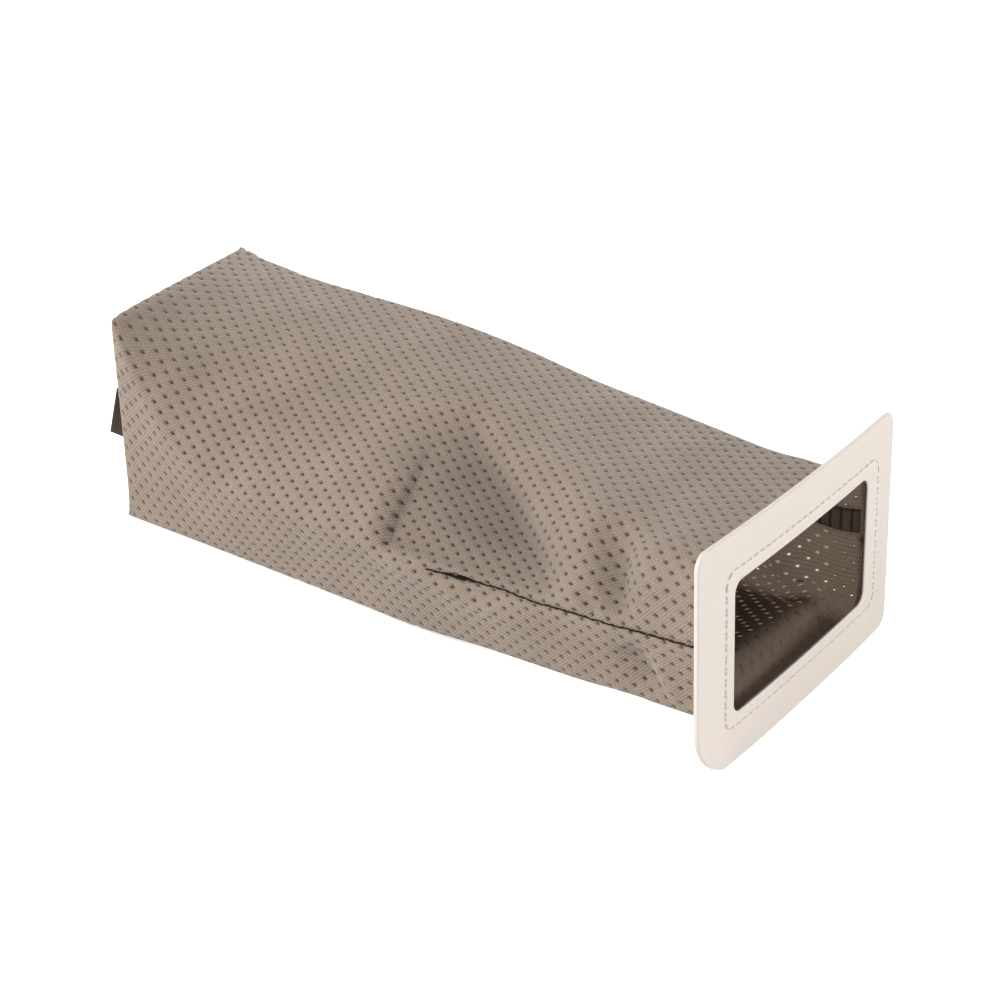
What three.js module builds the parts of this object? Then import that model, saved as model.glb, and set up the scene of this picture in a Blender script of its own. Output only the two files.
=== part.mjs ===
// Reusable vacuum dust bag: a bag of perforated knit, sewn to a flexible moulded flange plate.
// Millimetres, +Z up. The plate faces -Y and leans back on its lower edge, the bag lies behind it.
import * as THREE from 'three';

// Flange plate
const plateWidth = 88;
const plateHeight = 53.8;
const plateThickness = 1.2;
const plateCorner = 3.5;
const keyedCorner = 10.5; // lower left corner, cut away so that the bag fits one way round
const keyedFlatness = 0.35; // 0 for a round corner, 1 for a straight cut
const plateBow = 1.2; // the soft plate's left and right ends stand a little higher than its middle
const plateTilt = 1; // and its top edge climbs to the right
const plateLean = 5.4; // degrees, top edge towards the bag
const openingWidth = 60.8;
const openingHeight = 30.8;
const openingCorner = 2.8;
const openingShift = 1.2; // the opening sits to the right of the middle
const stitchWidth = 69.4; // stitch line round the opening
const stitchHeight = 36.8;
const stitchShift = 2.2;
const stitchCorner = 3.2;
const grooveWidth = 2.4;
const grooveDepth = 0.4;

// Bag as it lies: the far end is a soft box, turned a little because the near side is crumpled
const nearLength = 180;
const backLength = 194;
const farWidth = 64;
const farHeight = 55;
const farShift = 1;
const endBulge = 7;
const earReach = 1.5; // sewn corners stand out of the box
const endSetback = 4; // the far end's top edge lies further back than its floor edge
const crownHeight = 52; // top fold behind the middle of the bag
const crownWaist = 42; // top fold just behind the plate
const ridgeHeight = 20.5; // soft fold along the near side
const ridgeReach = 34;
const nearTuck = 2; // near wall runs in under that fold
const domeHeight = 45;
const domeInset = 17;
const foldRadius = 4;
const endFoldRadius = 2.5; // the far end's corners are sharper
const foldDepth = 4; // deepest of the folds pressed into the cloth
const foldHalfWidth = 9; // widest of them

// Cloth, seams and tab
const clothThickness = 1;
const hemMargin = 1.5; // hem edge outside the opening's edge
const seamWidth = 6;
const seamThickness = 1.5;
const seamInset = 1;
const tabWidth = 12;
const tabLength = 8;
const tabThickness = 1.4;
const tabPlace = 0.3; // along the end seam, from its low corner
const tabTwist = 0.3; // share of the end seam's slope that the tab's free end keeps
const tabSwing = 5; // the free end swings to the near side
const tabRise = 4; // and up
const holeLength = 2.6;
const holeWidth = 1.2;

// Clearance between touching pieces
const gap = 0.3;

// Fineness of the cloth grid
const upperColumns = 28;
const lowerColumns = 22;
const wallRows = 30;
const capRows = 4;
const holeRowStep = 2;
const holeColumnStep = 5;

const lean = THREE.MathUtils.degToRad(plateLean);
const openingCentre = plateHeight / 2 * Math.cos(lean);
const mouthHalfWidth = stitchWidth / 2;
const mouthHalfHeight = stitchHeight / 2;
const mouthLeft = stitchShift - mouthHalfWidth;
const mouthRight = stitchShift + mouthHalfWidth;
const mouthLow = openingCentre - mouthHalfHeight;
const mouthTop = openingCentre + mouthHalfHeight;
const farLeft = farShift - farWidth / 2;
const farRight = farShift + farWidth / 2;

const lerp = THREE.MathUtils.lerp;
const clamp = THREE.MathUtils.clamp;
const smoothstep = THREE.MathUtils.smoothstep;

// A rail gives one coordinate of a lengthwise fold at f, from 0 at the mouth to 1 at the far end:
// straight between its points, then averaged over a short run so that it bends softly.
const railSoftness = 0.08;
function rail(points, f) {
  const run = Math.min(railSoftness, f, 1 - f);
  let sum = 0;
  for (let k = -4; k <= 4; k++) {
    const at = clamp(f + k / 4 * run, 0, 1);
    const next = Math.max(1, points.findIndex(([place]) => place >= at));
    const [[f0, v0], [f1, v1]] = [points[next - 1], points[next]];
    sum += lerp(v0, v1, (at - f0) / (f1 - f0));
  }
  return sum / 9;
}

const lowNearX = [[0, mouthLeft], [0.5, farLeft + nearTuck], [0.8, farLeft + nearTuck / 2], [1, farLeft]];
const lowNearZ = [[0, mouthLow], [0.2, mouthLow * 0.6], [0.45, mouthLow * 0.1], [1, 0]];
const ridgeX = [[0, mouthLeft], [0.2, -ridgeReach], [0.86, -ridgeReach], [1, farLeft]];
const ridgeZ = [[0, openingCentre], [0.44, ridgeHeight], [0.87, ridgeHeight], [0.94, farHeight * 0.6],
  [1, farHeight]];
const domeX = [[0, mouthLeft], [0.17, mouthLeft * 0.91], [0.44, farLeft + domeInset * 0.75],
  [0.7, farLeft + domeInset], [0.86, farLeft + domeInset * 0.8], [1, farLeft]];
const domeZ = [[0, mouthTop], [0.44, domeHeight], [0.7, domeHeight], [0.86, domeHeight * 1.045],
  [1, farHeight * 1.02]];
const domeWeight = [[0, 9], [0.08, 2.5], [0.22, 1], [1, 1]];
const topBackX = [[0, mouthRight], [0.06, mouthRight * 0.89], [0.44, farRight * 0.94], [1, farRight]];
const topBackZ = [[0, mouthTop], [0.05, crownWaist], [0.12, crownWaist * 1.035], [0.3, crownWaist * 1.12],
  [0.6, crownHeight], [0.93, crownHeight * 0.98], [1, farHeight * 0.98]];
const lowBackX = [[0, mouthRight], [0.5, farRight], [1, farRight]];
const lowBackZ = [[0, mouthLow], [0.5, mouthLow / 2], [0.8, mouthLow / 6], [1, 0]];

// Cross-section at f: near wall, dome (a conic pulled towards its shoulder point), back wall and
// floor, joined into one closed line with the length run along it.
function sectionOutline(f) {
  const lowNear = new THREE.Vector2(rail(lowNearX, f), rail(lowNearZ, f));
  const ridge = new THREE.Vector2(rail(ridgeX, f), rail(ridgeZ, f));
  const shoulder = new THREE.Vector2(rail(domeX, f), rail(domeZ, f));
  const weight = rail(domeWeight, f);
  const topBack = new THREE.Vector2(rail(topBackX, f), rail(topBackZ, f));
  const lowBack = new THREE.Vector2(rail(lowBackX, f), rail(lowBackZ, f));
  const points = [lowNear, ridge];
  const domeSteps = 24;
  for (let k = 1; k < domeSteps; k++) {
    const t = k / domeSteps;
    const [a, b, c] = [(1 - t) ** 2, 2 * t * (1 - t) * weight, t ** 2];
    points.push(new THREE.Vector2()
      .addScaledVector(ridge, a).addScaledVector(shoulder, b).addScaledVector(topBack, c)
      .divideScalar(a + b + c));
  }
  points.push(topBack, lowBack, lowNear);
  const run = [0];
  points.slice(1).forEach((p, k) => run.push(run[k] + p.distanceTo(points[k])));
  return { points, run, total: run.at(-1), ridgeAt: run[1], topBackAt: run.at(-3), lowBackAt: run.at(-2) };
}

// Point at length s along a section, averaged over a radius either side, which rounds corners
function sectionPoint(section, s, radius) {
  const sum = new THREE.Vector2();
  for (let k = -4; k <= 4; k++) {
    const at = THREE.MathUtils.euclideanModulo(s + k / 4 * radius, section.total);
    const next = Math.max(1, section.run.findIndex((length) => length >= at));
    const t = (at - section.run[next - 1]) / (section.run[next] - section.run[next - 1]);
    sum.add(section.points[next - 1].clone().lerp(section.points[next], t));
  }
  return sum.divideScalar(9);
}

// The near seam runs at half height from the mouth, then dives under the near fold to the low near
// corner. The back seam climbs from half height at the mouth to the top back corner.
const seamDive = [0.4, 1];
const columns = upperColumns + lowerColumns;
const ringColumns = Array.from({ length: columns }, (_, k) => k);

function sectionRing(f) {
  const section = sectionOutline(f);
  const nearSeam = section.ridgeAt * (1 - smoothstep(f, ...seamDive));
  const backSeam = lerp((section.topBackAt + section.lowBackAt) / 2, section.topBackAt, f);
  const radius = lerp(foldRadius, endFoldRadius, smoothstep(f, 0.85, 1));
  return ringColumns.map((k) => sectionPoint(section, k < upperColumns
    ? lerp(nearSeam, backSeam, k / upperColumns)
    : lerp(backSeam, section.total + nearSeam, (k - upperColumns) / lowerColumns), radius));
}

// Distance behind the plate: square to the plate at the mouth, turning to the skewed far end
function ringDepth(f, x, z) {
  const atMouth = gap / Math.cos(lean) + z * Math.tan(lean);
  const atEnd = lerp(nearLength, backLength, (x - farLeft) / farWidth) + endSetback * (z / farHeight - 0.75);
  return lerp(atMouth, atEnd, f);
}

const wallRing = (f) => sectionRing(f).map((p) => new THREE.Vector3(p.x, ringDepth(f, p.x, p.y), p.y));

// Hem: the mouth's edge is turned in flat behind the plate, as far as hemMargin from the opening
function hemRing() {
  const scaleX = (openingWidth / 2 + hemMargin) / mouthHalfWidth;
  const scaleZ = (openingHeight / 2 + hemMargin) / mouthHalfHeight;
  return sectionRing(0).map((p) => {
    const x = openingShift + (p.x - stitchShift) * scaleX;
    const z = openingCentre + (p.y - openingCentre) * scaleZ;
    return new THREE.Vector3(x, ringDepth(0, x, z), z);
  });
}

// End seam: over the end from the rim's low near corner to its top back corner, bulging between
function endSeamPoint(rim, s) {
  const bulge = endBulge * Math.sin(Math.PI * s) + earReach;
  return rim[0].clone().lerp(rim[upperColumns], s).add(new THREE.Vector3(0, bulge, 0));
}

// Both panels meet the end seam: the upper one from its near end, the lower one from its back end
const endSeamPlace = (k) => k <= upperColumns ? k / upperColumns : 1 - (k - upperColumns) / lowerColumns;

function capRing(rim, t) {
  return rim.map((p, k) => {
    const end = endSeamPoint(rim, endSeamPlace(k));
    const rise = Math.sin(Math.PI / 2 * t);
    return new THREE.Vector3(lerp(p.x, end.x, t), lerp(p.y, end.y, rise), lerp(p.z, end.z, t));
  });
}

// Outward normals of closed rings, from the neighbours each way
function ringNormals(rings) {
  return rings.map((ring, j) => ring.map((_, k) => {
    const around = ring[(k + 1) % columns].clone().sub(ring[(k + columns - 1) % columns]);
    const along = rings[Math.min(j + 1, rings.length - 1)][k].clone().sub(rings[Math.max(j - 1, 0)][k]);
    return around.cross(along).normalize();
  }));
}

// Folds pressed into the near side and the top: straight valleys from one point to another. A point
// is given as shares of the ridge's reach, the near side's length and the dome's height, a half
// width and a depth as shares of the widest and the deepest fold.
const valleys = [
  { from: [-0.82, 0.51, 0.69], to: [-0.5, 0.52, 0.87], halfWidth: 0.67, depth: 1 },
  { from: [-0.12, 0.53, 0.98], to: [-0.65, 0.34, 0.8], halfWidth: 1, depth: 1 },
  { from: [-0.65, 0.34, 0.8], to: [-0.91, 0.26, 0.58], halfWidth: 0.78, depth: 0.88 },
  { from: [-0.79, 0.18, 0.82], to: [-0.97, 0.14, 0.64], halfWidth: 0.67, depth: 0.88 },
  { from: [-0.59, 0.9, 0.93], to: [-0.18, 0.72, 0.98], halfWidth: 1, depth: 0.38 },
];

function press(rings) {
  const normals = ringNormals(rings);
  const scale = new THREE.Vector3(ridgeReach, nearLength, domeHeight);
  for (const { from, to, halfWidth, depth } of valleys) {
    const [start, end] = [from, to].map((shares) => new THREE.Vector3(...shares).multiply(scale));
    const line = new THREE.Line3(start, end);
    const foot = new THREE.Vector3();
    rings.forEach((ring, j) => ring.forEach((p, k) => {
      line.closestPointToPoint(p, true, foot);
      const distance = foot.distanceTo(p) / (halfWidth * foldHalfWidth);
      const push = depth * foldDepth * Math.exp(-(distance ** 2));
      p.addScaledVector(normals[j][k], -push);
    }));
  }
}

const wallRings = Array.from({ length: wallRows + 1 }, (_, j) => wallRing(j / wallRows));
press(wallRings);
const capRings = Array.from({ length: capRows }, (_, j) => capRing(wallRings.at(-1), (j + 1) / capRows));
const skin = [hemRing(), ...wallRings, ...capRings];
const skinNormals = ringNormals(skin);

// Along the end seam both panels share one direction, which leans outwards near the ears
const earShare = 0.1;
const seamSlope = Math.atan2(farHeight, farWidth);
skinNormals[skin.length - 1] = ringColumns.map((k) => {
  const s = endSeamPlace(k);
  const outwards = Math.max(0, 1 - (1 - s) / earShare) - Math.max(0, 1 - s / earShare);
  return new THREE.Vector3(outwards * Math.cos(seamSlope), 1, outwards * Math.sin(seamSlope)).normalize();
});
const rimRow = wallRows + 1;

// One panel's points in row j. Its first and last point are held half a clearance off the side seams,
// and the last row half a clearance off the end seam.
function panelRow(j, first, count) {
  const endRow = j === skin.length - 1;
  const across = new THREE.Vector3(-farHeight, 0, farWidth).normalize();
  return Array.from({ length: count + 1 }, (_, k) => {
    const column = (first + k) % columns;
    const point = skin[j][column].clone();
    if (endRow) return point.addScaledVector(across, (first === 0 ? gap : -gap) / 2);
    const inward = k === 0 ? 1 : k === count ? -1 : 0;
    const neighbour = skin[j][(column + inward + columns) % columns];
    return point.addScaledVector(neighbour.clone().sub(point).normalize(), Math.abs(inward) * gap / 2);
  });
}

// A closed body from two grids of points, outer and inner, joined round their edges. Cells named by
// isHole are cut through by a slot of the given share of the cell.
function sheetGeometry(outer, inner, isHole = () => false, holeShare = [0, 0]) {
  const positions = [];
  const triangles = [];
  const rows = outer.length;
  const width = outer[0].length;
  for (const grid of [outer, inner]) grid.flat().forEach((p) => positions.push(p.x, p.y, p.z));
  const index = (side, j, k) => side * rows * width + j * width + k;
  const quad = (a, b, c, d) => triangles.push(a, b, c, a, c, d);
  const addPoint = (p) => positions.push(p.x, p.y, p.z) / 3 - 1;
  const inCell = (grid, j, k, u, v) => grid[j][k].clone().lerp(grid[j][k + 1], u)
    .lerp(grid[j + 1][k].clone().lerp(grid[j + 1][k + 1], u), v);
  for (let j = 0; j < rows - 1; j++) {
    for (let k = 0; k < width - 1; k++) {
      const corners = [0, 1].map((side) => [index(side, j, k), index(side, j, k + 1),
        index(side, j + 1, k + 1), index(side, j + 1, k)]);
      if (!isHole(j, k)) {
        quad(...corners[0]);
        quad(...corners[1].toReversed());
        continue;
      }
      const [u0, u1] = [0.5 - holeShare[0] / 2, 0.5 + holeShare[0] / 2];
      const [v0, v1] = [0.5 - holeShare[1] / 2, 0.5 + holeShare[1] / 2];
      const slot = [outer, inner].map((grid) => [[u0, v0], [u1, v0], [u1, v1], [u0, v1]]
        .map(([u, v]) => addPoint(inCell(grid, j, k, u, v))));
      for (let e = 0; e < 4; e++) {
        const n = (e + 1) % 4;
        quad(corners[0][e], corners[0][n], slot[0][n], slot[0][e]);
        quad(corners[1][n], corners[1][e], slot[1][e], slot[1][n]);
        quad(slot[0][e], slot[0][n], slot[1][n], slot[1][e]);
      }
    }
  }
  for (let k = 0; k < width - 1; k++) {
    quad(index(1, 0, k), index(1, 0, k + 1), index(0, 0, k + 1), index(0, 0, k));
    quad(index(0, rows - 1, k), index(0, rows - 1, k + 1), index(1, rows - 1, k + 1), index(1, rows - 1, k));
  }
  for (let j = 0; j < rows - 1; j++) {
    quad(index(0, j, 0), index(0, j + 1, 0), index(1, j + 1, 0), index(1, j, 0));
    quad(index(1, j, width - 1), index(1, j + 1, width - 1), index(0, j + 1, width - 1), index(0, j, width - 1));
  }
  const geometry = new THREE.BufferGeometry();
  geometry.setAttribute('position', new THREE.Float32BufferAttribute(positions, 3));
  geometry.setIndex(triangles);
  geometry.computeVertexNormals();
  return geometry;
}

// Panel of knit: skin outside, one cloth thickness inside
function panelGeometry(first, count, isHole) {
  const outer = skin.map((_, j) => panelRow(j, first, count));
  const inner = outer.map((row, j) => row.map((p, k) =>
    p.clone().addScaledVector(skinNormals[j][(first + k) % columns], -clothThickness)));
  const middleRow = outer[Math.floor(wallRows / 2)];
  const cellWidth = middleRow[0].distanceTo(middleRow[count]) / count;
  const cellLength = nearLength / wallRows;
  return sheetGeometry(outer, inner, isHole, [holeWidth / cellWidth, holeLength / cellLength]);
}

// Every few cells of the upper panel's wall, in staggered rows, a slot stands for the perforation
function isPerforated(j, k) {
  const row = (j - 2) / holeRowStep;
  const onWall = Number.isInteger(row) && j >= 2 && j < rimRow - 1 && k > 1 && k < upperColumns - 2;
  return onWall && (k + (row % 2 ? 0 : Math.floor(holeColumnStep / 2))) % holeColumnStep === 0;
}

// Walks along a line of skin points by a distance, and gives the point and the normal there
function walk(path, distance) {
  let left = distance;
  for (let k = 0; k < path.length - 1; k++) {
    const step = path[k].point.distanceTo(path[k + 1].point);
    if (left <= step || k === path.length - 2) {
      const t = left / step;
      return {
        point: path[k].point.clone().lerp(path[k + 1].point, t),
        normal: path[k].normal.clone().lerp(path[k + 1].normal, t),
      };
    }
    left -= step;
  }
}

// Seam allowance bound with overlock thread, lying flat inside the bag on the upper panel. Each path
// starts at the seam and runs over the skin, square to the seam.
function seamGeometry(paths) {
  const nearFace = clothThickness + gap;
  const farFace = nearFace + seamThickness;
  const places = [0, 1 / 3, 2 / 3, 1].map((share) => seamInset + share * seamWidth);
  const at = (depth) => paths.map((path) => places.map((distance) => {
    const { point, normal } = walk(path, distance);
    return point.addScaledVector(normal, -depth);
  }));
  return { outside: at(nearFace), inside: at(farFace) };
}

const skinPlace = (j, k) => ({ point: skin[j][k], normal: skinNormals[j][k] });
const seamReach = 5; // columns that a seam's width may need
const wallSeamRows = Array.from({ length: wallRows - 2 }, (_, n) => n + 2);
const nearSeamPaths = wallSeamRows.map((j) =>
  Array.from({ length: seamReach }, (_, n) => skinPlace(j, n)));
const backSeamPaths = wallSeamRows.map((j) =>
  Array.from({ length: seamReach }, (_, n) => skinPlace(j, upperColumns - n)));
const endSeamColumns = Array.from({ length: upperColumns - 7 }, (_, n) => n + 4);
const endSeamPaths = endSeamColumns.map((k) =>
  Array.from({ length: capRows + 1 }, (_, n) => skinPlace(skin.length - 1 - n, k)));

// Pull tab: a strip of webbing, sewn into the end seam, whose free end twists towards upright
function tabGeometry() {
  const seamLength = Math.hypot(farWidth, farHeight);
  const half = tabWidth / 2;
  const freeSlope = lerp(Math.PI / 2, seamSlope, tabTwist);
  const rim = wallRings.at(-1);
  const lengthSteps = 5;
  const root = (end) => endSeamPoint(rim, tabPlace + end * half / seamLength).add(new THREE.Vector3(0, gap, 0));
  const free = (end) => endSeamPoint(rim, tabPlace).add(new THREE.Vector3(
    end * half * Math.cos(freeSlope) - tabSwing, tabLength, end * half * Math.sin(freeSlope) + tabRise));
  const strip = (side) => Array.from({ length: lengthSteps + 1 }, (_, j) => {
    const t = j / lengthSteps;
    const slope = lerp(seamSlope, freeSlope, t);
    const face = new THREE.Vector3(-Math.sin(slope), 0, Math.cos(slope));
    return [-1, 0, 1].map((end) => root(end).lerp(free(end), t).addScaledVector(face, side * tabThickness / 2));
  });
  return sheetGeometry(strip(1), strip(-1));
}

// Outline of a rectangle with round corners, counter-clockwise seen from the front, as [x, z]. The
// last corner, at the lower left, may have a radius of its own and be flattened towards a straight cut.
const cornerSteps = 6;
const sideSteps = 6;
function roundedRectangle(width, height, radius, centreX, centreZ, lastRadius = radius, flatness = 0) {
  const turns = [[1, -1, -90], [1, 1, 0], [-1, 1, 90], [-1, -1, 180]];
  const corners = turns.map(([sx, sz, startAngle]) => {
    const last = startAngle === 180;
    const r = last ? lastRadius : radius;
    const arc = (share) => {
      const angle = THREE.MathUtils.degToRad(startAngle + 90 * share);
      return new THREE.Vector2(centreX + sx * (width / 2 - r) + r * Math.cos(angle),
        centreZ + sz * (height / 2 - r) + r * Math.sin(angle));
    };
    const chord = (share) => arc(0).lerp(arc(1), share);
    return Array.from({ length: cornerSteps + 1 }, (_, k) =>
      arc(k / cornerSteps).lerp(chord(k / cornerSteps), last ? flatness : 0));
  });
  const side = (from, to) => Array.from({ length: sideSteps - 1 }, (_, k) =>
    from.clone().lerp(to, (k + 1) / sideSteps));
  return corners.flatMap((corner, n) => [...corner, ...side(corner.at(-1), corners[(n + 1) % 4][0])]).map(bowed);
}

// The plate is soft: both ends rise by the bow, and its top edge climbs to the right by the tilt
function bowed({ x, y }) {
  const share = x / (plateWidth / 2);
  return [x, y + plateBow * share ** 2 + plateTilt * share * y / plateHeight];
}

// Flange plate: closed rings from the opening over the front, with its stitch groove, to the back
function plateGeometry() {
  const openingRing = (y) => roundedRectangle(openingWidth, openingHeight, openingCorner,
    openingShift, plateHeight / 2).map(([x, z]) => [x, y, z]);
  const stitchRing = (margin, y) => roundedRectangle(stitchWidth + 2 * margin, stitchHeight + 2 * margin,
    stitchCorner + margin, stitchShift, plateHeight / 2).map(([x, z]) => [x, y, z]);
  const outlineRing = (y) => roundedRectangle(plateWidth, plateHeight, plateCorner, 0, plateHeight / 2,
    keyedCorner, keyedFlatness).map(([x, z]) => [x, y, z]);
  const front = -plateThickness;
  const rings = [
    openingRing(0),
    openingRing(front),
    stitchRing(-grooveWidth / 2, front),
    stitchRing(0, front + grooveDepth),
    stitchRing(grooveWidth / 2, front),
    outlineRing(front),
    outlineRing(0),
  ];
  const width = rings[0].length;
  const triangles = [];
  rings.forEach((_, j) => {
    const next = (j + 1) % rings.length;
    for (let k = 0; k < width; k++) {
      const n = (k + 1) % width;
      const [a, b, c, d] = [j * width + k, j * width + n, next * width + n, next * width + k];
      triangles.push(a, c, b, a, d, c);
    }
  });
  const geometry = new THREE.BufferGeometry();
  geometry.setAttribute('position', new THREE.Float32BufferAttribute(rings.flat(2), 3));
  geometry.setIndex(triangles);
  geometry.computeVertexNormals();
  return geometry;
}

function piece(name, geometry, color, roughness) {
  const material = new THREE.MeshStandardMaterial({ color, roughness, metalness: 0 });
  const mesh = new THREE.Mesh(geometry, material);
  mesh.name = name;
  return mesh;
}

const ivory = 0xeee6de;
const taupe = 0xa0968a;
const thread = 0x3a342e;
const webbing = 0x463e37;

const plate = new THREE.Group();
plate.rotation.x = -lean;
plate.add(piece('flange_plate', plateGeometry(), ivory, 0.5));

const seamPiece = (name, paths) => {
  const { outside, inside } = seamGeometry(paths);
  return piece(name, sheetGeometry(outside, inside), thread, 0.9);
};
const reversed = (paths) => paths.toReversed();

const bag = new THREE.Group();
bag.add(
  piece('upper_panel', panelGeometry(0, upperColumns, isPerforated), taupe, 0.95),
  piece('lower_panel', panelGeometry(upperColumns, lowerColumns), taupe, 0.95),
  seamPiece('near_side_seam', nearSeamPaths),
  seamPiece('back_side_seam', reversed(backSeamPaths)),
  seamPiece('end_seam', endSeamPaths),
  piece('pull_tab', tabGeometry(), webbing, 0.9),
);

// Origin under the middle of the whole, on the surface that it rests on
const dustBag = new THREE.Group();
dustBag.add(plate, bag);
dustBag.updateMatrixWorld(true);
const bounds = new THREE.Box3().setFromObject(dustBag);
const middle = bounds.getCenter(new THREE.Vector3());
dustBag.position.set(-middle.x, -middle.y, -bounds.min.z);

export default dustBag;
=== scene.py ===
import bpy
import numpy as np
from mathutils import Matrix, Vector


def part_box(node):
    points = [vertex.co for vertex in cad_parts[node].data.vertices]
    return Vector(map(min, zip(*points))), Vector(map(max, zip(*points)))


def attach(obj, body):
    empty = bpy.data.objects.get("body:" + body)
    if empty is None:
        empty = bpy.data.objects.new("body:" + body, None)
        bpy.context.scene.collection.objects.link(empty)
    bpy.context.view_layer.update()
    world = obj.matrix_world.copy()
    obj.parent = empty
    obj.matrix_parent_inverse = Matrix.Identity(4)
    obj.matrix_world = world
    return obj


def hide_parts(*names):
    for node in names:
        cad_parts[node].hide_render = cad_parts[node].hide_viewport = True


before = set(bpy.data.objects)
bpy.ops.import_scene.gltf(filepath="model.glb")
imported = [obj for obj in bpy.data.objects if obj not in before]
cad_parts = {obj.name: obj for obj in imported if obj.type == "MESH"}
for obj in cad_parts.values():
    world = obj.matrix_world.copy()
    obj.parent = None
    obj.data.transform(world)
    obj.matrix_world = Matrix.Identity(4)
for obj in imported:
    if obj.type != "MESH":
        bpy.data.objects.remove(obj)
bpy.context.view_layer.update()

# The bag's skin. Two panels of perforated warp knit are sewn at both sides and across the far end.
# The bag lies on its floor, full at the far end, with a soft fold low along the near side.
# Lengths are millimetres in the plate's frame: x across, y from the plate's back, z up.
MM = 0.001
lean = np.radians(5.4)
plate_thickness, plate_height = 1.2, 53.8
plate_low = np.array(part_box("flange_plate")[0]) / MM
shift = np.array([0.0, plate_low[1] + plate_thickness * np.cos(lean), 0.0])

opening_width, opening_height, opening_shift = 60.8, 30.8, 1.2
stitch_width, stitch_height, stitch_shift = 69.4, 36.8, 2.2
clearance = 0.3
hem_margin = 1.5

near_length, back_length = 180.0, 194.0
far_width, far_height, far_shift = 64.0, 55.0, 1.0
end_bulge, ear_reach = 7.0, 1.5
end_lean, end_lean_pivot = 4.0, 0.75
crown_height, crown_waist = 52.0, 42.0
ridge_height, ridge_reach, near_tuck = 20.5, 34.0, 2.0
dome_height, dome_inset = 45.0, 17.0
fold_radius, ridge_fold_radius, end_fold_radius = 4.0, 1.5, 1.2
rail_softness = 0.08
near_wall_crowding = 0.35

opening_centre = plate_height / 2 * np.cos(lean)
mouth_half_width, mouth_half_height = stitch_width / 2, stitch_height / 2
mouth_left, mouth_right = stitch_shift - mouth_half_width, stitch_shift + mouth_half_width
mouth_low, mouth_top = opening_centre - mouth_half_height, opening_centre + mouth_half_height
far_left, far_right = far_shift - far_width / 2, far_shift + far_width / 2

# The folds that run the bag's length, each as its x and its z at shares of the way to the far end
low_near = ([[0, mouth_left], [0.5, far_left + near_tuck], [0.8, far_left + near_tuck / 2], [1, far_left]],
            [[0, mouth_low], [0.2, mouth_low * 0.6], [0.45, 0.8], [1, 0]])
ridge = ([[0, mouth_left], [0.2, -ridge_reach], [0.86, -ridge_reach], [1, far_left]],
         [[0, opening_centre], [0.44, ridge_height], [0.87, ridge_height], [0.94, far_height * 0.6],
          [1, far_height]])
dome = ([[0, mouth_left], [0.17, mouth_left + 3], [0.44, far_left + dome_inset * 0.75],
         [0.7, far_left + dome_inset], [0.86, far_left + dome_inset * 0.8], [1, far_left]],
        [[0, mouth_top], [0.44, dome_height], [0.7, dome_height], [0.86, dome_height + 2],
         [1, far_height + 1]])
dome_weight = [[0, 9], [0.08, 2.5], [0.22, 1], [1, 1]]
top_back = ([[0, mouth_right], [0.06, mouth_right - 4], [0.44, far_right - 2], [1, far_right]],
            [[0, mouth_top], [0.05, crown_waist], [0.12, crown_waist + 1.5], [0.3, crown_waist + 5],
             [0.6, crown_height], [0.93, crown_height - 1], [1, far_height - 1]])
low_back = ([[0, mouth_right], [0.5, far_right], [1, far_right]],
            [[0, mouth_low], [0.5, mouth_low / 2], [0.8, mouth_low / 6], [1, 0]])


def smoothstep(value, low, high):
    """0 below low, 1 above high, and 3t^2 - 2t^3 between."""
    t = np.clip((value - low) / (high - low), 0, 1)
    return t * t * (3 - 2 * t)


def mix(a, b, t):
    """a where t is 0, b where t is 1, in proportion between."""
    return a + (b - a) * t


def unit(vectors):
    """Vectors divided by their lengths."""
    return vectors / np.maximum(np.linalg.norm(vectors, axis=-1, keepdims=True), 1e-9)


def run_along(points, axis=0):
    """Length run from a path's first point to each of its points."""
    steps = np.linalg.norm(np.diff(points, axis=axis), axis=-1)
    start = np.zeros_like(np.take(steps, [0], axis=axis))
    return np.concatenate([start, np.cumsum(steps, axis=axis)], axis=axis)


averaged = np.linspace(-1, 1, 9)


def rail(points, f):
    """One coordinate of a lengthwise fold at f: straight between its points, averaged over rail_softness."""
    reach = np.minimum(rail_softness, np.minimum(f, 1 - f))
    places = f[:, None] + reach[:, None] * averaged
    return np.interp(places, *np.transpose(points)).mean(axis=1)


def corner_line(rails, f):
    """The x and z of one lengthwise fold, one row for each f."""
    return np.stack([rail(points, f) for points in rails], axis=-1)


def section_outlines(f):
    """Closed outlines, one row for each f: near wall, conic over the dome, back wall and floor.
    The conic is (a ridge + b shoulder + c back) / (a + b + c), with a = (1 - t)^2,
    b = 2t(1 - t) weight and c = t^2."""
    t = np.linspace(0, 1, 49)[1:-1, None]
    a, c = (1 - t) ** 2, t ** 2
    b = 2 * t * (1 - t) * rail(dome_weight, f)[:, None, None]
    start, shoulder, end = (corner_line(line, f)[:, None] for line in (ridge, dome, top_back))
    arch = (a * start + b * shoulder + c * end) / (a + b + c)
    low, back_low = corner_line(low_near, f)[:, None], corner_line(low_back, f)[:, None]
    return np.concatenate([low, start, arch, end, back_low, low], axis=1)


# Rows of a grid are set this far apart in length, so that one np.interp serves them all
row_spacing = 10000.0


def along_outline(outline, run, arc, radius):
    """Points at lengths arc along each row's outline, averaged over that row's fold radius each way."""
    total = run[:, -1:]
    row = np.arange(len(run))[:, None] * row_spacing
    points = 0
    for share in averaged:
        places = (np.mod(arc + share * radius[:, None], total) + row).ravel()
        points = points + np.stack([np.interp(places, (run + row).ravel(), outline[..., i].ravel())
                                    for i in (0, 1)], axis=-1)
    return (points / len(averaged)).reshape(arc.shape + (2,))


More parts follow.
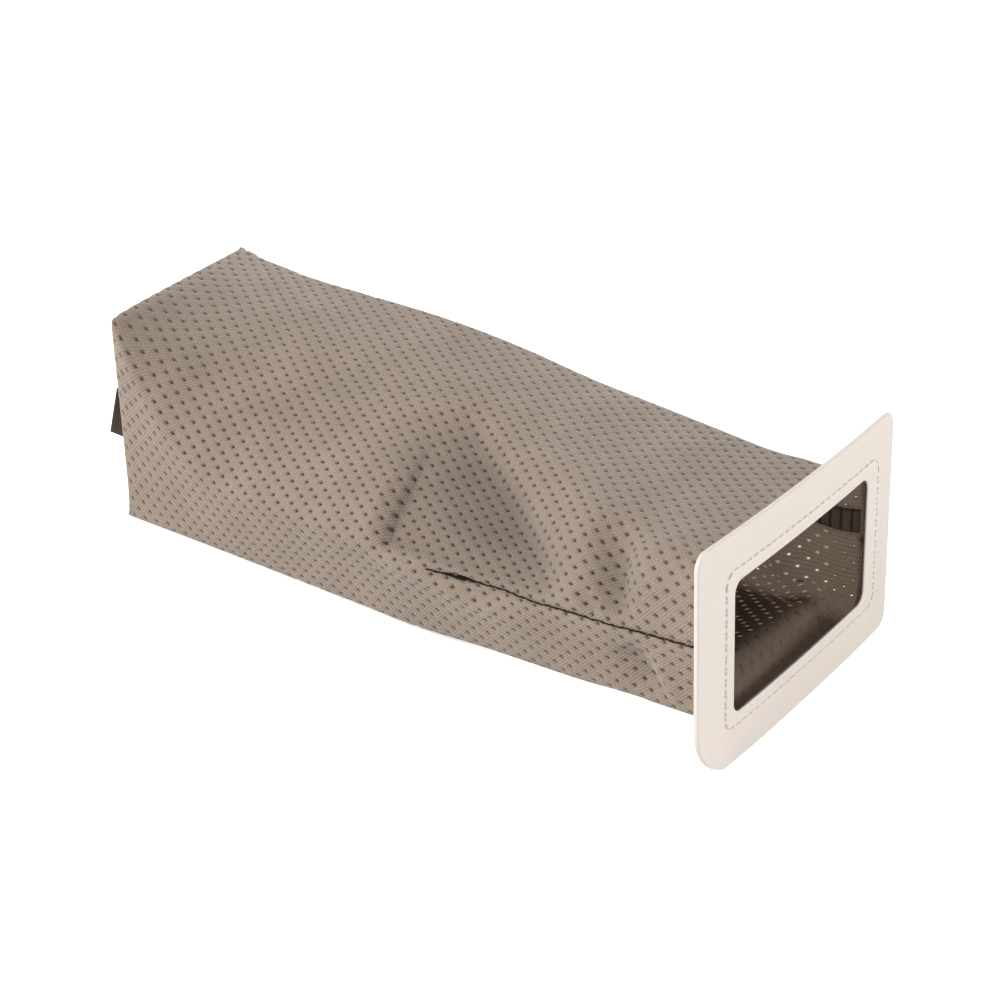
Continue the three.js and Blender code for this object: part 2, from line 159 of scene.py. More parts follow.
# Cells of the knit: every second cell of this grid has a hole, in staggered columns. Nodes of the
# skin lie at the corners and middles of the cells, so there are two for each cell each way.
wall_cells, cap_cells, hem_cells = 86, 12, 1
upper_cells, lower_cells = 49, 49
cells_round = upper_cells + lower_cells
nodes_round, back_node = 2 * cells_round, 2 * upper_cells
hem_rows = 2 * hem_cells
rim_row = hem_rows + 2 * wall_cells
wall_f = np.linspace(0, 1, 2 * wall_cells + 1)

outline = section_outlines(wall_f)
outline_run = run_along(outline, axis=1)
near_seam_arc = outline_run[:, 1] * (1 - smoothstep(wall_f, 0.4, 1))
back_seam_arc = mix((outline_run[:, -3] + outline_run[:, -2]) / 2, outline_run[:, -3], wall_f)
upper_share = np.arange(back_node) / back_node
lower_share = np.arange(nodes_round - back_node) / (nodes_round - back_node)
lower_share = lower_share + near_wall_crowding * lower_share ** 2 * (1 - lower_share)
arc = np.concatenate([
    mix(near_seam_arc[:, None], back_seam_arc[:, None], upper_share),
    mix(back_seam_arc[:, None], (outline_run[:, -1] + near_seam_arc)[:, None], lower_share)], axis=1)
wall_radius = mix(fold_radius, ridge_fold_radius, smoothstep(wall_f, 0.35, 0.5))
wall_radius = mix(wall_radius, end_fold_radius, smoothstep(wall_f, 0.85, 1))
xz = along_outline(outline, outline_run, arc, wall_radius)


def depth(f, x, z):
    """Distance behind the plate: square to the leaning plate at f = 0, skewed at the far end."""
    at_mouth = clearance / np.cos(lean) + z * np.tan(lean)
    skew = (x - far_left) / far_width
    at_end = mix(near_length, back_length, skew) + end_lean * (z / far_height - end_lean_pivot)
    return mix(at_mouth, at_end, f)


wall = np.stack([xz[..., 0], depth(wall_f[:, None], xz[..., 0], xz[..., 1]), xz[..., 1]], axis=-1)

# The hem: the front edges, turned in flat behind the plate as far as hem_margin from its opening
hem_share = (np.arange(hem_rows) / hem_rows)[:, None]
hem_half_width, hem_half_height = opening_width / 2 + hem_margin, opening_height / 2 + hem_margin
mouth_x, mouth_z = xz[0, :, 0], xz[0, :, 1]
hem_x = mix(opening_shift + (mouth_x - stitch_shift) * hem_half_width / mouth_half_width, mouth_x, hem_share)
hem_z = opening_centre + (mouth_z - opening_centre) * mix(hem_half_height / mouth_half_height, 1, hem_share)
hem = np.stack([hem_x, depth(0, hem_x, hem_z), hem_z], axis=-1)

# The far end closes towards the end seam, which runs from the low near corner to the top back one
round_index = np.arange(nodes_round)
seam_place = np.where(round_index <= back_node, round_index / back_node,
                      1 - (round_index - back_node) / (nodes_round - back_node))
rim = wall[-1]


def end_seam_line(share):
    """Points of the end seam, bulged by end_bulge sin(pi share), at shares of the way up it."""
    share = np.asarray(share, float)
    line = mix(rim[0], rim[back_node], share[..., None])
    line[..., 1] += end_bulge * np.sin(np.pi * share) + ear_reach
    return line


end_seam = end_seam_line(seam_place)
cap_t = (np.arange(1, 2 * cap_cells + 1) / (2 * cap_cells))[:, None]
cap = np.stack([mix(rim[:, 0], end_seam[:, 0], cap_t),
                mix(rim[:, 1], end_seam[:, 1], np.sin(np.pi / 2 * cap_t)),
                mix(rim[:, 2], end_seam[:, 2], cap_t)], axis=-1)
skin = np.concatenate([hem, wall, cap])
softened = slice(rim_row - 2, rim_row + 3)
for _ in range(3):
    skin[softened] = (skin[rim_row - 3:rim_row + 2] + 2 * skin[softened] + skin[rim_row - 1:rim_row + 4]) / 4

# Folds pressed into the soft cloth. Each is a path over the skin, as cells round the bag from the near
# seam, cells along it from the plate, and how far it is pushed in, in millimetres. Less than 0 stands out.
sharp_step = [(1.5, 43.5, 0), (3, 43.4, 2.5), (8.5, 43.2, 2.5), (13, 43.4, 1.8), (19, 44, 0)]
step_brow = [(0, 45.5, 0), (4, 45.5, -1.8), (9, 45.5, -1.8), (15, 46, -0.8), (19, 46, 0)]
long_valley = [(26, 43, 0), (21.5, 39.5, 3.4), (16.5, 35, 4.6), (13, 31, 5), (8.5, 27, 5), (5, 24, 4.2),
               (2.5, 22, 2.2), (0.5, 21, 0)]
bulge = [(25, 29, 0), (20, 25, -1.6), (14, 20, -2.2), (9, 18, -1.8), (5, 18, 0)]
near_dent = [(13, 15, 0), (9, 14.5, 3.4), (5, 13.6, 4.4), (2, 13, 3.4), (0, 12.8, 0)]
knee = [(14, 9, 0), (9, 10, -1.2), (5, 9, -1.2), (2, 8, 0)]
side_edge = [(0.5, 46, 0), (-1, 40, -1.8), (-2.5, 33, -1.8), (-4, 26, -1), (-5, 22, 0)]
seam_crease = [(4, 17.5, 0), (2.5, 16.7, 1.2), (1, 15.5, 1.2), (0.5, 15, 0)]
side_wrinkle = [(-2, 10.5, 0), (-4, 9.8, 2.2), (-6.5, 8.6, 2.4), (-9, 7, 0)]
wrinkle_brow = [(-2, 8.3, 0), (-4.5, 7, -1), (-7, 5.5, -1), (-9, 4.5, 0)]
top_hollow = [(33, 62, 0), (26, 60, 0.9), (18, 64, 1), (12, 70, 0)]
far_hollow = [(36, 84, 0), (30, 78, 0.6), (22, 76, 0.7), (17, 78, 0)]
floor_hump = [(-37, 3.5, 0), (-33, 3.5, 5), (-22, 3.2, 8.5), (-13, 3, 11), (-11, 3, 5), (-10, 3, 0)]
back_diagonal = [(-47.5, 13, 0), (-44, 10, 3), (-40, 6.5, 4), (-36, 3.5, 2.5), (-34.5, 2.5, 0)]

# Each path's width to its right and to its left, in cells
folds = [
    (sharp_step, 13, 0.4),
    (step_brow, 1, 6),
    (long_valley, 8, 2.2),
    (bulge, 4, 4),
    (near_dent, 2.6, 1.8),
    (knee, 2, 2),
    (side_edge, 1.4, 0.9),
    (seam_crease, 1.2, 0.6),
    (side_wrinkle, 2.6, 1.2),
    (wrinkle_brow, 0.9, 0.9),
    (top_hollow, 5, 5),
    (far_hollow, 4, 4),
    (floor_hump, 1.2, 7),
    (back_diagonal, 2.5, 2),
]
round_place = (round_index / 2 + cells_round / 2) % cells_round - cells_round / 2
along_place = (np.arange(len(skin))[:, None] - hem_rows) / 2
skin_place = np.stack(np.broadcast_arrays(round_place, along_place), axis=-1)


def outward(grid):
    """Unit normals of the skin: the step round the bag crossed with the step along it."""
    around = np.roll(grid, -1, axis=1) - np.roll(grid, 1, axis=1)
    along = np.gradient(grid, axis=0)
    return unit(np.cross(around, along))


def pressed(path, right_width, left_width):
    """How far a fold pushes the cloth in: push exp(-(d / width)^2) at d cells from its path."""
    nearest, amount = np.full(skin_place.shape[:2], np.inf), np.zeros(skin_place.shape[:2])
    for start, end in zip(np.array(path[:-1], float), np.array(path[1:], float)):
        line, offset = (end - start)[:2], skin_place - start[:2]
        t = np.clip(offset @ line / (line @ line), 0, 1)
        distance = np.linalg.norm(offset - t[..., None] * line, axis=-1)
        side = line[0] * offset[..., 1] - line[1] * offset[..., 0]
        width = np.where(side > 0, left_width, right_width)
        push = mix(start[2], end[2], t) * np.exp(-(distance / width) ** 2)
        amount = np.where(distance < nearest, push, amount)
        nearest = np.minimum(nearest, distance)
    return amount


unpressed_normals = outward(skin)
# How far the folds push in is summed here, for the painted shade that darkens the knit in its folds.
painted_fold_shade = np.zeros(skin.shape[:2])
for path, right_width, left_width in folds:
    push = pressed(path, right_width, left_width)
    skin -= unpressed_normals * push[..., None]
    painted_fold_shade += np.maximum(push, 0)

# At the end seam the cloth meets edge to edge, and its normals turn out at the two ears
ear_share = 0.1
seam_slope = np.arctan2(far_height, far_width)
ear_turn = np.maximum(0, 1 - (1 - seam_place) / ear_share) - np.maximum(0, 1 - seam_place / ear_share)
skin_normals = outward(skin)
skin_normals[-1] = unit(np.stack([ear_turn * np.cos(seam_slope), np.ones(nodes_round),
                                  ear_turn * np.sin(seam_slope)], axis=-1))
across_end_seam = unit(np.array([-far_height, 0, far_width]))

# The two knit panels. Every hole is a real slot through the cloth, longer along the bag than round
# it, and the cloth dips a little towards each hole. Along an open seam the edge rolls inwards.
cloth_thickness = 0.75
hole_half_width, hole_half_length = 0.11, 0.24
hole_turn = np.radians(25)
hole_dip, dip_size, dip_limit = 0.2, 1.7, 0.85
smallest_cell = 1.3
seam_roll = 0.7
seam_gap, loose_gap = 0.1, 1.2
loose_place, loose_length = 0.385, 0.02

ring_steps = np.array([[1, 0], [1, 1], [0, 1], [-1, 1], [-1, 0], [-1, -1], [0, -1], [1, -1]])
ring_shape = np.array([[1, 0], [0.86, 0.82], [0, 1], [-0.86, 0.82],
                       [-1, 0], [-0.86, -0.82], [0, -1], [0.86, -0.82]])
slot_ring = ring_shape * [hole_half_width, hole_half_length] @ [
    [np.cos(hole_turn), -np.sin(hole_turn)], [np.sin(hole_turn), np.cos(hole_turn)]]

# Each seam's gap, and how far it shows open, at each row of the skin. The near one ends half way.
row_f = np.concatenate([np.zeros(hem_rows), wall_f, np.ones(2 * cap_cells)])
near_open = 1 - smoothstep(row_f, 0.425, 0.44)
near_gap = near_open * (seam_gap + loose_gap * np.exp(-((row_f - loose_place) / loose_length) ** 2))
back_open = np.ones_like(row_f)
near_seam, back_seam = (near_gap, near_open), (seam_gap * back_open, back_open)


def build(name, points, faces, uv=None, border=None):
    """A mesh object from points in millimetres and faces of four indices, with one uv for each point.
    Edges between points of border stay sharp; the rest is smooth."""
    mesh = bpy.data.meshes.new(name)
    points = (np.asarray(points) + shift) * MM
    faces = np.asarray(faces, dtype=np.int32)
    used, index = np.unique(faces, return_inverse=True)
    index = index.reshape(-1).astype(np.int32)
    mesh.vertices.add(len(used))
    mesh.vertices.foreach_set("co", points[used].astype(np.float32).ravel())
    mesh.loops.add(len(index))
    mesh.loops.foreach_set("vertex_index", index)
    mesh.polygons.add(len(faces))
    mesh.polygons.foreach_set("loop_start", np.arange(len(faces), dtype=np.int32) * faces.shape[1])
    mesh.polygons.foreach_set("use_smooth", np.ones(len(faces), dtype=bool))
    if uv is not None:
        layer = mesh.uv_layers.new(name="Cloth")
        layer.data.foreach_set("uv", np.asarray(uv)[used][index].astype(np.float32).ravel())
    mesh.update(calc_edges=True)
    if border is not None:
        on_border = np.isin(used, border)
        ends = np.empty(2 * len(mesh.edges), dtype=np.int32)
        mesh.edges.foreach_get("vertices", ends)
        sharp = mesh.attributes.new("sharp_edge", "BOOLEAN", "EDGE")
        sharp.data.foreach_set("value", on_border[ends].reshape(-1, 2).all(axis=1))
    mesh.validate()
    piece = bpy.data.objects.new(name, mesh)
    bpy.context.scene.collection.objects.link(piece)
    return piece


def fit(piece, material, node=None):
    """Gives a piece its material and slot, rides it on the bag, and lets it stand for a CAD node."""
    piece.data.materials.append(material)
    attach(piece, "root")
    if node:
        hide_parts(node)


def grid_faces(rows, columns, offset=0, flip=False):
    """Quads between the nodes of a grid whose columns don't close on themselves."""
    a = offset + (np.arange(rows - 1)[:, None] * columns + np.arange(columns - 1)).ravel()
    quads = np.stack([a, a + 1, a + columns + 1, a + columns], axis=-1)
    return quads[:, ::-1] if flip else quads


def ring_faces(a, b):
    """Quads between rings of indices, each row of a with the same row of b."""
    return np.stack([a, np.roll(a, -1, axis=1), np.roll(b, -1, axis=1), b], axis=-1).reshape(-1, 4)


def border_of(rows, columns):
    """Indices round the border of a grid, along the first row, up the last column and back."""
    index = np.arange(rows * columns).reshape(rows, columns)
    return np.concatenate([index[0, :-1], index[:-1, -1], index[-1, :0:-1], index[:0:-1, 0]])


def border_walls(border, size):
    """Quads that join a grid's border to that of a second grid, whose indices come size later."""
    after = np.roll(border, -1)
    return np.stack([border, border + size, after + size, after], axis=-1)


def panel_sheet(columns, seams, end_side):
    """The outer sheet and its normals. Each edge node moves gap / 2 into the panel and seam_roll inwards,
    and the next one a fifth of that. The far edge lies clearance / 2 beside the end seam."""
    outer, normals = skin[:, columns].copy(), skin_normals[:, columns]
    for edge, step, (gap, opened) in ((0, 1, seams[0]), (-1, -1, seams[1])):
        into = unit(outer[:, edge + step] - outer[:, edge])
        outer[:, edge] += into * gap[:, None] / 2 - normals[:, edge] * (opened * seam_roll)[:, None]
        outer[:, edge + step] -= normals[:, edge + step] * (opened * seam_roll / 5)[:, None]
    outer[-1] = skin[-1, columns] + end_side * across_end_seam * clearance / 2
    return outer, normals


def in_cells(grid, row, column, share):
    """Bilinear places in the cells round the middle nodes, by the four nodes of each place's quadrant.
    The share is in half cells from the middle node."""
    beside = column + np.sign(share[..., 0]).astype(int)
    beyond = row + np.sign(share[..., 1]).astype(int)
    u_share, v_share = abs(share[..., 0, None]), abs(share[..., 1, None])
    near = mix(grid[row, column], grid[row, beside], u_share)
    far = mix(grid[beyond, column], grid[beyond, beside], u_share)
    return mix(near, far, v_share)


def knit_panel(name, node_name, first, cells, seams, end_side):
    """One panel: the skin's nodes from one seam to the other, thickened inwards and cut by its slots.
    Its second material, a darker copy of the knit as painted shade with a painted glow, is for the faces
    inside the bag."""
    columns = (np.arange(2 * cells + 1) + 2 * first) % nodes_round
    outer, normals = panel_sheet(columns, seams, end_side)
    inner = outer - normals * cloth_thickness
    rows, width = outer.shape[:2]
    size = rows * width
    nodes = np.arange(size).reshape(rows, width)
    v, u = np.mgrid[0:rows, 0:width] / 2.0
    place = np.stack([u + first, v], axis=-1)
    shade = painted_fold_shade[:, columns][..., None]

    wide = np.linalg.norm(outer[1::2, 2::2] - outer[1::2, :-2:2], axis=-1)
    long = np.linalg.norm(outer[2::2, 1::2] - outer[:-2:2, 1::2], axis=-1)
    cell_rows = len(wide)
    cell_row, cell_column = np.mgrid[0:cell_rows, 0:cells]
    pierced = ((cell_row + cell_column + first) % 2 == 0) & (cell_row >= hem_cells)
    pierced &= (cell_row < cell_rows - 2) & (wide > smallest_cell) & (long > smallest_cell)
    row, column = 2 * cell_row[pierced][:, None] + 1, 2 * cell_column[pierced][:, None] + 1

    share = slot_ring / (np.stack([wide[pierced], long[pierced]], axis=-1) / 2)[:, None]
    lip_share = np.clip(share * dip_size, -dip_limit, dip_limit)
    lip = in_cells(outer, row, column, lip_share) - in_cells(normals, row, column, share) * hole_dip
    slot = in_cells(inner, row, column, share)
    around = nodes[row + ring_steps[:, 1], column + ring_steps[:, 0]]
    lip_index = 2 * size + np.arange(lip[..., 0].size).reshape(-1, len(slot_ring))
    slot_index = lip_index + lip_index.size

    whole = np.repeat(np.repeat(~pierced, 2, axis=0), 2, axis=1).ravel()
    quads = grid_faces(rows, width)[whole]
    border = border_of(rows, width)
    outside = [quads, border_walls(border, size),
               ring_faces(around, lip_index), ring_faces(lip_index, slot_index)]
    inside = [quads[:, ::-1] + size, ring_faces(slot_index, around + size)]
    faces = np.concatenate(outside + inside)
    points = np.concatenate([part.reshape(-1, 3) for part in (outer, inner, lip, slot)])
    uv = np.concatenate([part.reshape(-1, 2) for part in (
        place, place, in_cells(place, row, column, lip_share), in_cells(place, row, column, share))])
    slot_shade = in_cells(shade, row, column, share)
    shades = np.concatenate([part.ravel() for part in (shade, shade, slot_shade, slot_shade)])

    piece = build(name, points, faces, uv, np.concatenate([border, border + size]))
    # The fold depth goes to the material as an attribute, for painted shade in the folds.
    fold = piece.data.attributes.new("PaintedFoldShade", "FLOAT", "POINT")
    fold.data.foreach_set("value", shades[np.unique(faces)].astype(np.float32))
    fit(piece, knit_outside, node_name)
    piece.data.materials.append(knit_inside_painted_shade_and_glow)
    is_inside = np.arange(len(faces)) >= sum(len(part) for part in outside)
    piece.data.polygons.foreach_set("material_index", is_inside.astype(np.int32))
    return piece


def new_material(name, color, roughness, specular=0.5):
    """A material with its node tree and Principled shader, the plain values set on the shader."""
    material = bpy.data.materials.new(name)
    material.use_nodes = True
    shader = material.node_tree.nodes["Principled BSDF"]
    shader.inputs["Base Color"].default_value = (*color, 1)
    shader.inputs["Roughness"].default_value = roughness
    shader.inputs["Specular IOR Level"].default_value = specular
    return material, material.node_tree, shader


def give(tree, node, **inputs):
    """Sets or links a node's inputs, by their names with _ for a blank, or by place as _0, _1 and on."""
    for name, value in inputs.items():
        socket = node.inputs[int(name[1:])] if name[0] == "_" else node.inputs[name.replace("_", " ")]
        if isinstance(value, bpy.types.NodeSocket):
            tree.links.new(value, socket)
        else:
            socket.default_value = value
    return node.outputs


def add(tree, kind, **inputs):
    """The outputs of a new node of a kind, with some of its inputs given."""
    return give(tree, tree.nodes.new(kind), **inputs)


def maths(tree, operation, *values):
    """The result of one Math node."""
    node = tree.nodes.new("ShaderNodeMath")
    node.operation = operation
    return give(tree, node, **{f"_{place}": value for place, value in enumerate(values)})[0]


def blended(tree, factor, first, second):
    """The first colour where the factor is 0, the second where it is 1."""
    node = tree.nodes.new("ShaderNodeMix")
    node.data_type = "RGBA"
    return give(tree, node, _0=factor, _6=first, _7=second)[2]


def scaled(tree, colour, factor):
    """A colour times a factor."""
    node = tree.nodes.new("ShaderNodeVectorMath")
    node.operation = "SCALE"
    return give(tree, node, _0=colour, Scale=factor)["Vector"]


def cloth_place(tree):
    """The two coordinates of the piece's own UV map."""
    node = tree.nodes.new("ShaderNodeUVMap")
    node.uv_map = "Cloth"
    split = add(tree, "ShaderNodeSeparateXYZ", Vector=node.outputs["UV"])
    return split["X"], split["Y"]


def object_place(tree):
    """Object coordinates."""
    return add(tree, "ShaderNodeTexCoord")["Object"]


def new_group(name, inputs, outputs):
    """A shader node group with its named inputs and outputs, each given with its kind of socket."""
    group = bpy.data.node_groups.new(name, "ShaderNodeTree")
    for direction, sockets in (("INPUT", inputs), ("OUTPUT", outputs)):
        for socket, kind in sockets.items():
            group.interface.new_socket(name=socket, in_out=direction, socket_type=kind)
    return group, group.nodes.new("NodeGroupInput").outputs, group.nodes.new("NodeGroupOutput")


def placed(tree, group, **inputs):
    """The outputs of a node group placed in a material with its own values."""
    node = tree.nodes.new("ShaderNodeGroup")
    node.node_tree = group
    return give(tree, node, **inputs)


# The knit's look: the painted shade round each hole, its half sizes in cells; the painted light and shade
# of the ribs, and the cloth's own blotches and fuzz, in the tone; the painted shade that darkens the folds;
# and the painted glow that stands for the light coming through the back wall and the holes' cores
hole_shade_half_width, hole_shade_half_length = 0.19, 0.28
core_sharpness, painted_core_glow, first_core_row = 2.5, 2.2, 5.0
rib_painted_shade_share, blotch_share, fuzz_share, fuzz_relief = 0.5, 0.4, 0.6, 0.35
blotch_scale, fuzz_scale = 90.0, 2600.0
darkest_shade, lightest_shade = 0.2, 1.05
painted_fold_darkening, darkest_painted_fold_shade = 0.065, 0.4
back_wall_column, lit_half_width, lit_reach = 51.0, 9.0, 12.0


def hole_distance(tree, u, v):
    """a^2 + b^2 from the middle of a cell, a across its turned slot and b along it, in widths of the painted
    hole shade.
    """
    x = maths(tree, "SUBTRACT", maths(tree, "FRACT", u), 0.5)
    y = maths(tree, "SUBTRACT", maths(tree, "FRACT", v), 0.5)
    sine, cosine = np.sin(hole_turn), np.cos(hole_turn)
    across = maths(tree, "MULTIPLY_ADD", x, cosine / hole_shade_half_width,
                   maths(tree, "MULTIPLY", y, -sine / hole_shade_half_width))
    along = maths(tree, "MULTIPLY_ADD", x, sine / hole_shade_half_length,
                  maths(tree, "MULTIPLY", y, cosine / hole_shade_half_length))
    return maths(tree, "ADD", maths(tree, "MULTIPLY", across, across), maths(tree, "MULTIPLY", along, along))


def warp_knit_group():
    """Warp knit on the skin's cells (u, v). Its height is 0.5 + rib cos 4 pi (u + v)
    + cross rib cos 4 pi (u - v) + wale cos 4 pi u, and it also paints light on the ribs' crests and shade in
      their
    grooves. Round a hole painted shade darkens the tone by exp(-a^2 - b^2), and deep in a fold painted shade
    darkens the colour with the push. A painted glow stands for the light through the back wall and the holes'
    cores."""
    number, colour = "NodeSocketFloat", "NodeSocketColor"
    tree, given, result = new_group(
        "Warp knit",
        {"Light": colour, "Dark": colour, "Rib": number, "Cross Rib": number, "Wale": number,
         "Hole Shade": number, "Glow": number},
        {"Cloth": colour, "Relief": number, "Light Through": colour})
    u, v = cloth_place(tree)

    def wave(place):
        """The cosine of 4 pi times a place."""
        return maths(tree, "COSINE", maths(tree, "MULTIPLY", place, 4 * np.pi))

    height = maths(tree, "MULTIPLY_ADD", wave(maths(tree, "ADD", u, v)), given["Rib"], 0.5)
    height = maths(tree, "MULTIPLY_ADD", wave(maths(tree, "SUBTRACT", u, v)), given["Cross Rib"], height)
    height = maths(tree, "MULTIPLY_ADD", wave(u), given["Wale"], height)
    cell = maths(tree, "ADD", maths(tree, "FLOOR", u), maths(tree, "FLOOR", v))
    pierced = maths(tree, "LESS_THAN", maths(tree, "FLOORED_MODULO", cell, 2.0), 0.5)
    distance = hole_distance(tree, u, v)
    # Painted shade in the dip round each hole, on the pierced cells.
    painted_hole_shade = maths(tree, "MULTIPLY", pierced, maths(tree, "EXPONENT", maths(tree, "MULTIPLY", distance, -1.0)))

    blotch = add(tree, "ShaderNodeTexNoise", Vector=object_place(tree), Scale=blotch_scale, Detail=4.0)["Fac"]
    fuzz = add(tree, "ShaderNodeTexNoise", Vector=object_place(tree), Scale=fuzz_scale, Detail=2.0)["Fac"]
    # The ribs' height goes into the tone as painted light on their crests and painted shade in their grooves;
    # blotches and fuzz are the cloth's own uneven tone.
    shade = maths(tree, "MULTIPLY_ADD", height, rib_painted_shade_share, maths(tree, "MULTIPLY", blotch, blotch_share))
    shade = maths(tree, "MULTIPLY_ADD", fuzz, fuzz_share, shade)
    shade = maths(tree, "SUBTRACT", shade, maths(tree, "MULTIPLY", painted_hole_shade, given["Hole Shade"]))
    share = add(tree, "ShaderNodeMapRange", Value=shade, From_Min=darkest_shade, From_Max=lightest_shade)
    cloth = blended(tree, share["Result"], given["Dark"], given["Light"])

    # Painted shade in the folds: the colour falls with the fold depth, to no less than a floor share of
    # itself.
    fold = tree.nodes.new("ShaderNodeAttribute")
    fold.attribute_name = "PaintedFoldShade"
    kept = maths(tree, "MULTIPLY_ADD", fold.outputs["Fac"], -painted_fold_darkening, 1.0)
    give(tree, result, Cloth=scaled(tree, cloth, maths(tree, "MAXIMUM", kept, darkest_painted_fold_shade)))
    give(tree, result, Relief=maths(tree, "MULTIPLY_ADD", fuzz, fuzz_relief, height))

    # Painted light: a glow by the back wall and in the holes' cores, for light that comes through the cloth.
    from_back_wall = maths(tree, "ABSOLUTE", maths(tree, "SUBTRACT", u, back_wall_column))
    painted_back_wall_light = add(tree, "ShaderNodeMapRange", Value=from_back_wall, From_Min=lit_reach, From_Max=lit_half_width)
    core = maths(tree, "EXPONENT", maths(tree, "MULTIPLY", distance, -core_sharpness))
    core = maths(tree, "MULTIPLY", maths(tree, "MULTIPLY", core, pierced),
                 maths(tree, "GREATER_THAN", v, first_core_row))
    strength = maths(tree, "MULTIPLY_ADD", painted_back_wall_light["Result"], given["Glow"],
                     maths(tree, "MULTIPLY", core, painted_core_glow))
    give(tree, result, Light_Through=scaled(tree, cloth, strength))
    return tree


warp_knit = warp_knit_group()


def knit_material(name, light, dark, relief_depth, sheen, **weave):
    """The knit in one finish, between its light and dark colours."""
    material, tree, shader = new_material(name, light, 0.95, 0.2)
    knit = placed(tree, warp_knit, Light=(*light, 1), Dark=(*dark, 1), **weave)
    bump = add(tree, "ShaderNodeBump", Height=knit["Relief"], Distance=relief_depth, Strength=0.8)
    give(tree, shader, Base_Color=knit["Cloth"], Normal=bump["Normal"])
    give(tree, shader, Sheen_Weight=sheen, Sheen_Roughness=0.4)
    # The painted glow is given as emission.
    if weave["Glow"]:
        give(tree, shader, Emission_Color=knit["Light Through"], Emission_Strength=1.0)
    return material


knit_outside = knit_material(
    "perforated_knit", (0.43, 0.344, 0.278), (0.2, 0.152, 0.115), relief_depth=0.00025, sheen=0.45,
    Rib=0.2, Cross_Rib=0.13, Wale=0.0, Hole_Shade=0.95, Glow=0.0)
# The inside copy of the knit is darker as painted shade, and glows as painted light.
knit_inside_painted_shade_and_glow = knit_material(
    "knit_inside_painted_shade_and_glow", (0.25, 0.185, 0.14), (0.13, 0.093, 0.068), relief_depth=0.00016, sheen=0.0,
    Rib=0.04, Cross_Rib=0.02, Wale=0.28, Hole_Shade=0.0, Glow=0.42)
upper_knit = knit_panel("knit_upper_panel", "upper_panel", 0, upper_cells,
                        seams=(near_seam, back_seam), end_side=1)
lower_knit = knit_panel("knit_lower_panel", "lower_panel", upper_cells, lower_cells,
                        seams=(back_seam, near_seam), end_side=-1)

# Side and end seams. Inside, both allowances stand as one band, bound with dark overlock thread that
# wraps its edge. Each band lies flat on the upper panel, a cloth thickness in from the skin.
band_width, band_thickness, band_inset = 6.0, 1.1, 0.8
band_depth = cloth_thickness + 0.55
wrap_height, wrap_sharpness = 0.15, 8
stitch_run = 2.4
band_columns = 12


def closed_sheet(outer, inner):
    """Points and quads of a closed sheet between two grids, its border joined by a wall."""
    rows, columns = outer.shape[:2]
    size = rows * columns
    points = np.concatenate([outer.reshape(-1, 3), inner.reshape(-1, 3)])
    faces = np.concatenate([grid_faces(rows, columns), grid_faces(rows, columns, size, flip=True),
                            border_walls(border_of(rows, columns), size)])
    return points, faces


def sheet_uv(u, v):
    """One uv for each point of a closed sheet, the same on both sides."""
    v, u = np.broadcast_arrays(v, u)
    return np.tile(np.stack([u, v], axis=-1).reshape(-1, 2), (2, 1))


def seam_band(name, paths, path_normals, node):
    """A band whose rows start at the seam and run band_width over the skin, at equal lengths. Its edges
    round off as 1 - (1 - s^6)^0.5, and the thread wraps raise it by wrap_height |cos|^8."""
    run = run_along(paths, axis=1)
    across = np.linspace(0, 1, 13)
    row = np.arange(len(paths))[:, None] * row_spacing
    places = (band_inset + across * band_width + row).ravel()
    sample = [np.interp(places, (run + row).ravel(), grid[..., i].ravel())
              for grid in (paths, path_normals) for i in range(3)]
    points = np.stack(sample[:3], axis=-1).reshape(len(paths), -1, 3)
    normals = unit(np.stack(sample[3:], axis=-1).reshape(len(paths), -1, 3))
    length = run_along(points[:, 0])
    wrap = wrap_height * abs(np.cos(np.pi * length / stitch_run)) ** wrap_sharpness
    rounded = band_thickness / 2 * (1 - np.sqrt(np.clip(1 - (2 * across - 1) ** 6, 0, 1)))
    outer = points - normals * (band_depth + rounded[:, None])
    inner = points - normals * (band_depth + band_thickness - rounded[:, None] + wrap[:, None, None])
    band = build(name, *closed_sheet(outer, inner), sheet_uv(across, length[:, None] / stitch_run))
    fit(band, overlock, node)


def overlock_material():
    """Knit band crossed by dark thread: a line at each whole v and along both edges."""
    material, tree, shader = new_material("overlocked_edge", (0.2, 0.17, 0.14), 0.9)
    u, v = cloth_place(tree)
    cross = maths(tree, "ABSOLUTE", maths(tree, "COSINE", maths(tree, "MULTIPLY", v, np.pi)))
    edge = maths(tree, "ABSOLUTE", maths(tree, "MULTIPLY_ADD", u, 2.0, -1.0))
    thread = maths(tree, "MAXIMUM", maths(tree, "POWER", cross, 10.0), maths(tree, "POWER", edge, 8.0))
    fibre = add(tree, "ShaderNodeTexNoise", Vector=object_place(tree), Scale=2500.0)
    relief = maths(tree, "MULTIPLY_ADD", fibre["Fac"], 0.4, thread)
    bump = add(tree, "ShaderNodeBump", Height=relief, Distance=0.0003, Strength=0.6)
    colour = blended(tree, thread, (0.15, 0.115, 0.085, 1), (0.035, 0.028, 0.022, 1))
    give(tree, shader, Base_Color=colour, Normal=bump["Normal"])
    return material


